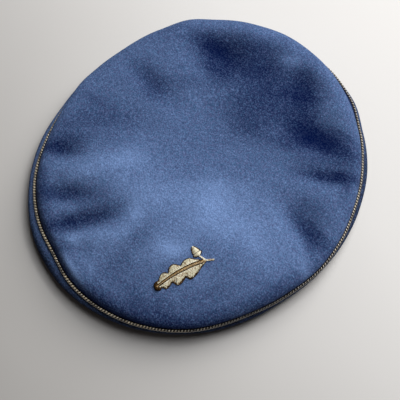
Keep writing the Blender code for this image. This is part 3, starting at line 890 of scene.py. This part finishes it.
# painted shade where the rolled rim shades the cord, painted light where the crown's bulge shades it
SHADED_WAYS = (math.radians(-20.0), math.radians(82.0))
SHADED_SHARES = (1.0, 0.85)
SHADED_FADE = 0.6
LIT_WAY = math.radians(-115.0)
LIT_SHARE = 0.75
WEAR_SIZE = 0.0045
WEAR_MIDDLE = 0.9
WEAR_SWING = 1.5
WEAR_LEAST = 0.2


def thread_mesh(name, lines, radius, closed=False, sides=2):
    """One mesh of round threads, each along its own list of points."""
    data = bpy.data.curves.new(name, "CURVE")
    data.dimensions = "3D"
    data.bevel_depth = radius
    data.bevel_resolution = sides - 1
    data.use_fill_caps = not closed
    for points in lines:
        line = data.splines.new("POLY")
        line.points.add(len(points) - 1)
        for target, point in zip(line.points, points):
            target.co = (*point, 1.0)
        line.use_cyclic_u = closed
    curve = bpy.data.objects.new(name + "_curve", data)
    bpy.context.scene.collection.objects.link(curve)
    bpy.context.view_layer.update()
    mesh = bpy.data.meshes.new_from_object(curve.evaluated_get(bpy.context.evaluated_depsgraph_get()))
    bpy.data.objects.remove(curve)
    mesh.name = name
    return mesh


plies = []
for ply in (0.0, math.pi):
    wound = []
    for index, point in enumerate(cord_points):
        along = (cord_points[(index + 1) % len(cord_points)] - cord_points[index - 1]).normalized()
        aside = along.cross(Vector((0.0, 0.0, 1.0))).normalized()
        over = aside.cross(along)
        turn = 2.0 * math.pi * index / POINTS_PER_TURN + ply
        offset = aside * math.cos(turn) + over * math.sin(turn)
        wound.append(point + offset * (CORD_RADIUS - PLY_RADIUS))
    plies.append(wound)
cord_mesh = thread_mesh("twisted_cord", plies, PLY_RADIUS, closed=True, sides=3)


def painted_cord_light(place):
    """Painted light of the cord: 1 bright, 0 in painted shade between plies, down flanks and where shaded.
    """
    _, index, _ = seam_tree.find(place)
    here = cord_points[index]
    pair = cord_points[(index + 1) % len(cord_points)] - cord_points[index - 1]
    along = index + 2.0 * (place - here).dot(pair) / pair.length_squared
    bare = LIT_SHARE * towards(place, LIT_WAY) ** 2
    dull = sum(part * towards(place, at) ** 4 for at, part in zip(SHADED_WAYS, SHADED_SHARES))

    def level(edge):
        return edge.plain + edge.bare * bare + edge.dull * dull

    crest = -math.cos(4.0 * math.pi * along / POINTS_PER_TURN)
    bead = smooth_step(crest, level(BEAD_DARK), level(BEAD_PALE))
    top = smooth_step((place.z - here.z) / CORD_RADIUS, level(FLANK), level(TOP))
    wear = min(max(WEAR_MIDDLE + WEAR_SWING * noise.noise(here / WEAR_SIZE), WEAR_LEAST), 1.0)
    return bead * top * wear * (1.0 - SHADED_FADE * dull)


mark(cord_mesh, "crest", painted_cord_light)
show(cord_mesh, "twisted_cord", cord_gold, ["edge_cord"])

# %% [markdown]
# ## The embroidered leaf
# The leaf is worked in satin stitch: hundreds of parallel threads laid side by side over a little padding,
# from the midrib out to a lobed edge. An oak leaf's edge is a row of round lobes with narrow notches
# between them. The table gives its half width on each side, row by row from the round tip to the foot, and
# a smooth curve fills in between. Every stitch is a short thread draped over the felt below it.

# %% Leaf outline and stitches
Lobe = namedtuple("Lobe", "along left right bend")
LEAF = (
    Lobe(0.00, 0.26, 0.26, 0.00),
    Lobe(0.04, 0.42, 0.44, 0.04),
    Lobe(0.09, 0.38, 0.30, 0.08),
    Lobe(0.14, 0.64, 0.68, 0.12),
    Lobe(0.20, 0.78, 0.74, 0.17),
    Lobe(0.26, 0.70, 0.60, 0.21),
    Lobe(0.31, 0.43, 0.57, 0.24),
    Lobe(0.36, 0.82, 1.08, 0.26),
    Lobe(0.43, 1.00, 1.14, 0.27),
    Lobe(0.50, 0.84, 0.96, 0.28),
    Lobe(0.57, 0.43, 0.83, 0.27),
    Lobe(0.62, 0.66, 1.20, 0.26),
    Lobe(0.70, 0.82, 1.14, 0.24),
    Lobe(0.77, 0.78, 0.98, 0.21),
    Lobe(0.86, 0.45, 0.62, 0.14),
    Lobe(0.94, 0.20, 0.30, 0.06),
    Lobe(1.00, 0.09, 0.11, 0.00),
)
LEAF_LENGTH = 0.0400
LEAF_HALF_WIDTH = 0.0068
TIP_ACROSS = 0.388
TIP_ALONG = -0.704
LEAF_TIP = MIDDLE + Vector((TIP_ACROSS * SEAM_HALF_WIDTH, TIP_ALONG * SEAM_HALF_LENGTH, 0.0))
LEAF_TURN = math.radians(72.0)
LEAF_ALONG = Vector((math.cos(LEAF_TURN), math.sin(LEAF_TURN), 0.0))
LEAF_LEFT = Vector((-math.sin(LEAF_TURN), math.cos(LEAF_TURN), 0.0))
STITCH_RADIUS = 0.00032
STITCH_STEP = 0.00050
STITCH_SLANT = 0.45
SLANT_TRIES = 3
STITCH_POINTS = 6
SHAKE = (-0.0006, 0.0003)
SHORTEST_STITCH = 0.0004
PADDING = 0.00075
PADDING_FALL = 2.2
PADDED_REACH = 0.004
TIP_RISE = 0.00015
RIB_HALF_WIDTH = 0.00100
RIB_TIP_SHARE = 0.55
RIB_FULL_AT = 0.7
ground = BVHTree.FromObject(crown, bpy.context.evaluated_depsgraph_get())


def on_felt(place, lift):
    """A place in plan, laid on the crown's felt so far above it."""
    hit = ground.ray_cast(Vector((place.x, place.y, 0.1)), Vector((0.0, 0.0, -1.0)))[0]
    return hit + Vector((0.0, 0.0, lift))


def lobe_at(share):
    """The leaf's row at a share of its length, smooth between the table's rows."""
    share = min(max(share, 0.0), 1.0)
    row = max(index for index, lobe in enumerate(LEAF[:-1]) if lobe.along <= share)
    start, end = LEAF[row], LEAF[row + 1]
    before, after = LEAF[max(row - 1, 0)], LEAF[min(row + 2, len(LEAF) - 1)]
    span = end.along - start.along
    t = (share - start.along) / span
    values = []
    for column in range(1, 4):
        slope_in = (end[column] - before[column]) / (end.along - before.along) * span
        slope_out = (after[column] - start[column]) / (after.along - start.along) * span
        values.append(curve_between(start[column], end[column], slope_in, slope_out, t))
    return Lobe(share, *values)


def leaf_place(share, aside):
    """A place in plan: so far along the leaf, and so many metres left of its midrib."""
    bend = lobe_at(share).bend * LEAF_HALF_WIDTH
    return LEAF_TIP + LEAF_ALONG * share * LEAF_LENGTH + LEAF_LEFT * (bend + aside)


def edge_reach(share, side):
    """Metres from the midrib to the leaf's edge, on the left for side 1 and on the right for -1."""
    lobe = lobe_at(share)
    return LEAF_HALF_WIDTH * (lobe.left if side > 0 else lobe.right)


def rib_half(share):
    """Half the midrib's width, thinner towards the leaf's tip."""
    return RIB_HALF_WIDTH * (RIB_TIP_SHARE + (1.0 - RIB_TIP_SHARE) * smooth_step(share, 0.0, RIB_FULL_AT))


shaky = random.Random(7)
blade_stitches = []
stitch_count = round(LEAF_LENGTH / STITCH_STEP)
for side in (1, -1):
    for index in range(stitch_count + 1):
        foot = index / stitch_count
        tip_share = foot
        for _ in range(SLANT_TRIES):
            tip_share = max(foot - STITCH_SLANT * edge_reach(tip_share, side) / LEAF_LENGTH, 0.0)
        reach = edge_reach(tip_share, side) + shaky.uniform(*SHAKE)
        if reach < rib_half(foot) + SHORTEST_STITCH:
            continue
        points = []
        for step in range(STITCH_POINTS):
            part = step / (STITCH_POINTS - 1)
            share = foot + (tip_share - foot) * part
            aside = side * (rib_half(foot) + (reach - rib_half(foot)) * part)
            hump = PADDING * (1.0 - part**PADDING_FALL) * min(reach / PADDED_REACH, 1.0)
            points.append(on_felt(leaf_place(share, aside), STITCH_RADIUS + hump + TIP_RISE * part))
        blade_stitches.append(points)
blade_mesh = thread_mesh("leaf_blade_stitches", blade_stitches, STITCH_RADIUS)
show(blade_mesh, "leaf_blade_stitches", blade_gold, ["oak_leaf"])

# %% [markdown]
# ## Midrib and outline
# The midrib is a narrow band of short ochre stitches over more padding, with a dark thread couched down on
# each side of it. The same dark thread outlines the whole leaf and makes it read from afar. A second one
# runs just inside the right edge, which is nearer the viewer. It is painted shade: a dark line that
# thickens the outline where the lower lobes fall into shade. A thick knot sits at the tip. All of them
# follow curves that the leaf's table already gives.

# %% Midrib and outline threads
RIB_PADDING = 0.00095
RIB_STEP = 0.00062
RIB_SLANT = 0.014
RIB_RADIUS = 0.00036
RIB_LINE_RADIUS = 0.000378
RIB_LINE_STEPS = 60
RIB_LINE_END = 0.04
OUTLINE_RADIUS = 0.00050
OUTLINE_OUT = 0.00030
OUTLINE_STEPS = 150
OUTLINE_SINK = 0.6
OVERLAP = 3
# a dark thread just inside the right edge: painted shade along the lower lobes
LOWER_IN = 0.00045
LOWER_STEPS = 138
LOWER_SINK = 0.8
TIP_STEPS = 10
TIP_IN = 0.0006
TIP_OUT = 0.0006
TIP_LIFT = 0.0010
TIP_RADIUS = 0.0012


def edge_point(step, side, out, lift):
    """A point along the leaf's edge, so far outside it and so far above the felt."""
    share = step / OUTLINE_STEPS
    return on_felt(leaf_place(share, side * (edge_reach(share, side) + out)), lift)


rib_stitches = []
for index in range(round(LEAF_LENGTH / RIB_STEP)):
    share = (index + 0.5) * RIB_STEP / LEAF_LENGTH
    stitch = []
    for part in (-1.0, 0.0, 1.0):
        lift = RIB_RADIUS + RIB_PADDING * (1.0 - 0.5 * abs(part))
        stitch.append(on_felt(leaf_place(share + part * RIB_SLANT, -part * rib_half(share)), lift))
    rib_stitches.append(stitch)
rib_mesh = thread_mesh("leaf_midrib_stitches", rib_stitches, RIB_RADIUS)
show(rib_mesh, "leaf_midrib_stitches", rib_gold, [])

rib_lines = []
for side in (1, -1):
    line = []
    for step in range(RIB_LINE_STEPS + 1):
        share = RIB_LINE_END + (1.0 - 2.0 * RIB_LINE_END) * step / RIB_LINE_STEPS
        place = leaf_place(share, side * (rib_half(share) + 0.5 * RIB_RADIUS))
        line.append(on_felt(place, RIB_RADIUS + RIB_PADDING))
    rib_lines.append(line)
rib_line_mesh = thread_mesh("leaf_midrib_lines", rib_lines, RIB_LINE_RADIUS)
show(rib_line_mesh, "leaf_midrib_lines", line_brown, [])

outline_lift = OUTLINE_SINK * OUTLINE_RADIUS
left_edge = [edge_point(step, 1, OUTLINE_OUT, outline_lift) for step in range(OUTLINE_STEPS + 1)]
right_edge = [edge_point(step, -1, OUTLINE_OUT, outline_lift) for step in range(OUTLINE_STEPS, -1, -1)]
outline = left_edge + right_edge + left_edge[:OVERLAP]
# painted shade: the dark thread inside the right edge
shaded_edge_line = [edge_point(step, -1, -LOWER_IN, LOWER_SINK * OUTLINE_RADIUS) for step in range(LOWER_STEPS)]
outline_mesh = thread_mesh("leaf_outline", [outline, shaded_edge_line], OUTLINE_RADIUS)
show(outline_mesh, "leaf_outline", line_brown, [])

knot = []
for step in range(-TIP_STEPS, TIP_STEPS + 1):
    side = 1 if step > 0 else -1
    share = abs(step) / OUTLINE_STEPS
    aside = side * max(edge_reach(share, side) - TIP_IN, 0.0)
    knot.append(on_felt(leaf_place(share, aside) - LEAF_ALONG * TIP_OUT, TIP_LIFT))
knot_mesh = thread_mesh("leaf_tip_knot", [knot], TIP_RADIUS, sides=3)
show(knot_mesh, "leaf_tip_knot", line_brown, [])
print("leaf", len(blade_stitches), "blade stitches,", len(rib_stitches), "rib stitches")

# %% [markdown]
# ## Stem and acorn
# Past its foot the leaf has a short stem, and the acorn hangs beside it on a stalk of its own: a pointed
# nut in a cup, both worked in satin stitch across their width. Stem and stalk are two threads laid side by
# side. Only the nut and the cup have the leaf's dark outline.

# %% Stem, stalk, cup and nut
STEM_LENGTH = 0.0062
STEM_WAY = math.radians(-23.0)
STEM_START = 0.0012
STEM_TUCK = 0.002
STALK_LENGTH = 0.0058
STALK_WAY = math.radians(118.0)
STALK_START = 0.0004
STALK_TUCK = 0.0012
THREAD_LIFT = 0.0006
THREAD_STEPS = 6
Pair = namedtuple("Pair", "radius aside")
STEM_PAIR = Pair(0.00036, 0.00030)
STALK_PAIR = Pair(0.00034, 0.00028)
ACORN_WAY = math.radians(98.0)
CUP_LENGTH = 0.0020
CUP_HALF_WIDTH = 0.0033
CUP_START = 0.0002
CUP_PADDING = 0.0012
CUP_EDGE = 0.0002
CUP_STALK_SHARE = 0.42
CUP_WIDENING = 1.25
NUT_LENGTH = 0.0052
NUT_HALF_WIDTH = 0.0027
NUT_START = 0.0009
NUT_PADDING = 0.0010
NUT_EDGE = 0.0003
NUT_TAPER = 0.80
NUT_BLUNTNESS = 1.6
Patch = namedtuple("Patch", "start direction length half_at")
ACROSS_PARTS = (-1.0, -0.7, -0.3, 0.3, 0.7, 1.0)
EDGE_STEPS = 14
EDGE_THINNESS = 0.8


def leaf_way(turn):
    """A direction in plan, turned from the leaf's own."""
    return LEAF_ALONG * math.cos(turn) + LEAF_LEFT * math.sin(turn)


def left_of(direction):
    """The direction in plan a quarter turn to the left of another."""
    return Vector((-direction.y, direction.x, 0.0))


def laid_pair(name, start, direction, length, pair):
    """Two threads laid straight on the felt, side by side."""
    threads = []
    for aside in (pair.aside, -pair.aside):
        begin = start + left_of(direction) * aside
        places = [begin + direction * length * step / THREAD_STEPS for step in range(THREAD_STEPS + 1)]
        threads.append([on_felt(place, THREAD_LIFT) for place in places])
    return thread_mesh(name, threads, pair.radius, sides=3)


def patch_place(patch, share, part, out=0.0):
    """A place in a patch: a share of the way along it, and a part of its half width to the left."""
    reach = left_of(patch.direction) * (patch.half_at(share) + out)
    return patch.start + patch.direction * patch.length * share + reach * part


def satin_patch(name, patch, padding):
    """Stitches across a patch, side by side along it."""
    stitches = []
    count = round(patch.length / STITCH_STEP)
    lifts = [STITCH_RADIUS + padding * (1.0 - part * part) for part in ACROSS_PARTS]
    for index in range(count + 1):
        places = [patch_place(patch, index / count, part) for part in ACROSS_PARTS]
        stitches.append([on_felt(place, lift) for place, lift in zip(places, lifts)])
    return thread_mesh(name, stitches, STITCH_RADIUS)


def patch_edge(patch, out):
    """The closed outline of a patch, so far outside its edge."""
    shares = [step / EDGE_STEPS for step in range(EDGE_STEPS + 1)]
    left = [patch_place(patch, share, 1.0, out) for share in shares]
    right = [patch_place(patch, share, -1.0, out) for share in reversed(shares)]
    return [on_felt(place, OUTLINE_RADIUS) for place in left + right]


def nut_half(share):
    """The nut's half width: full at the cup, and running out to a blunt point."""
    return NUT_HALF_WIDTH * (1.0 - NUT_TAPER * share**NUT_BLUNTNESS)


def cup_half(share):
    """The cup's half width: narrow at the stalk and widest at its rim."""
    opening = math.sin(0.5 * math.pi * min(CUP_WIDENING * share, 1.0))
    return CUP_HALF_WIDTH * (CUP_STALK_SHARE + (1.0 - CUP_STALK_SHARE) * opening)


leaf_foot = leaf_place(1.0, 0.0) + LEAF_ALONG * STEM_START
stem_way = leaf_way(STEM_WAY)
stem_start = leaf_foot - stem_way * STEM_TUCK
stem_mesh = laid_pair("leaf_stem_threads", stem_start, stem_way, STEM_LENGTH + STEM_TUCK, STEM_PAIR)
show(stem_mesh, "leaf_stem_threads", blade_gold, ["leaf_stem"])

stalk_way = leaf_way(STALK_WAY)
stalk_start = leaf_foot + stalk_way * STALK_START
stalk_mesh = laid_pair("acorn_stalk_threads", stalk_start, stalk_way, STALK_LENGTH + STALK_TUCK, STALK_PAIR)
show(stalk_mesh, "acorn_stalk_threads", blade_gold, ["acorn_stalk"])

acorn_way = leaf_way(ACORN_WAY)
cup = Patch(stalk_start + stalk_way * (STALK_LENGTH + CUP_START), acorn_way, CUP_LENGTH, cup_half)
cup_mesh = satin_patch("acorn_cup_stitches", cup, CUP_PADDING)
show(cup_mesh, "acorn_cup_stitches", blade_gold, ["acorn_cup"])

nut = Patch(cup.start + acorn_way * (CUP_LENGTH + NUT_START), acorn_way, NUT_LENGTH, nut_half)
nut_mesh = satin_patch("acorn_nut_stitches", nut, NUT_PADDING)
show(nut_mesh, "acorn_nut_stitches", blade_gold, ["acorn_nut"])

edges = [patch_edge(nut, NUT_EDGE), patch_edge(cup, CUP_EDGE)]
edge_mesh = thread_mesh("acorn_outline", edges, EDGE_THINNESS * OUTLINE_RADIUS, closed=True)
show(edge_mesh, "acorn_outline", line_brown, [])
